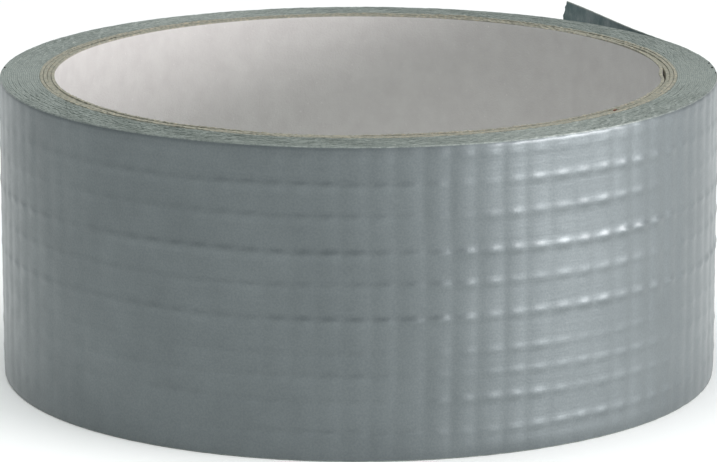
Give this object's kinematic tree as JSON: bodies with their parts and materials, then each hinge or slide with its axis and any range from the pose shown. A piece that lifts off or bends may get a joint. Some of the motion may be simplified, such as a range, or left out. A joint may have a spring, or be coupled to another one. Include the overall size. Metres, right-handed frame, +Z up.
{
  "type": "duct tape roll",
  "caption": "Short wide roll of silver cloth-backed adhesive tape on a paperboard core, with its torn free end lifted off the roll.",
  "frame": {"origin": "centre of the core's bore, in the face that the roll lies on", "axes": "+Z up along the axis of the roll, +X to the right and +Y to the back; the free end of the tape leaves at the right and points to the back"},
  "size_m": [0.09, 0.095, 0.038],
  "materials": {
    "tape_film": "satin",
    "scrim_cloth": "matte",
    "tape_adhesive": "satin",
    "liner_paper": "matte",
    "core_board": "matte",
    "kraft_paper": "matte"
  },
  "bodies": {
    "roll": {"core_liner_ply": "liner_paper", "core_inner_board_ply": "core_board", "core_outer_board_ply": "core_board", "core_wrap_ply": "kraft_paper", "wound_adhesive": "tape_adhesive", "wound_scrim": "scrim_cloth", "wound_film": "tape_film", "outer_turn_adhesive": "tape_adhesive", "outer_turn_scrim": "scrim_cloth", "outer_turn_film": "tape_film"},
    "tail_1": {"tail_adhesive_1": "tape_adhesive", "tail_scrim_1": "scrim_cloth", "tail_film_1": "tape_film"},
    "tail_2": {"tail_adhesive_2": "tape_adhesive", "tail_scrim_2": "scrim_cloth", "tail_film_2": "tape_film"},
    "tail_3": {"tail_adhesive_3": "tape_adhesive", "tail_scrim_3": "scrim_cloth", "tail_film_3": "tape_film"},
    "tail_4": {"tail_adhesive_4": "tape_adhesive", "tail_scrim_4": "scrim_cloth", "tail_film_4": "tape_film"},
    "tail_5": {"tail_adhesive_5": "tape_adhesive", "tail_scrim_5": "scrim_cloth", "tail_film_5": "tape_film"}
  },
  "joints": [
    {"name": "tail_peel", "type": "hinge", "parent": "roll", "child": "tail_1", "pos_m": [0.03814, 0.02417, 0.019], "axis": [0, 0, -1], "range_deg": [-12.5, 90]},
    {"name": "tail_curl_1", "type": "hinge", "parent": "tail_1", "child": "tail_2", "pos_m": [0.03603, 0.02914, 0.019], "axis": [0, 0, -1], "range_deg": [-8.3, 25]},
    {"name": "tail_curl_2", "type": "hinge", "parent": "tail_2", "child": "tail_3", "pos_m": [0.0341, 0.03418, 0.019], "axis": [0, 0, -1], "range_deg": [-7.35, 22.05]},
    {"name": "tail_curl_3", "type": "hinge", "parent": "tail_3", "child": "tail_4", "pos_m": [0.03225, 0.03925, 0.019], "axis": [0, 0, -1], "range_deg": [-5.86, 17.55]},
    {"name": "tail_curl_4", "type": "hinge", "parent": "tail_4", "child": "tail_5", "pos_m": [0.03036, 0.04431, 0.019], "axis": [0, 0, -1], "range_deg": [-4.37, 13.05]}
  ],
  "couplings": [
    {"joint": "tail_curl_2", "follows": "tail_curl_1", "ratio": 0.88},
    {"joint": "tail_curl_3", "follows": "tail_curl_1", "ratio": 0.7},
    {"joint": "tail_curl_4", "follows": "tail_curl_1", "ratio": 0.52}
  ]
}
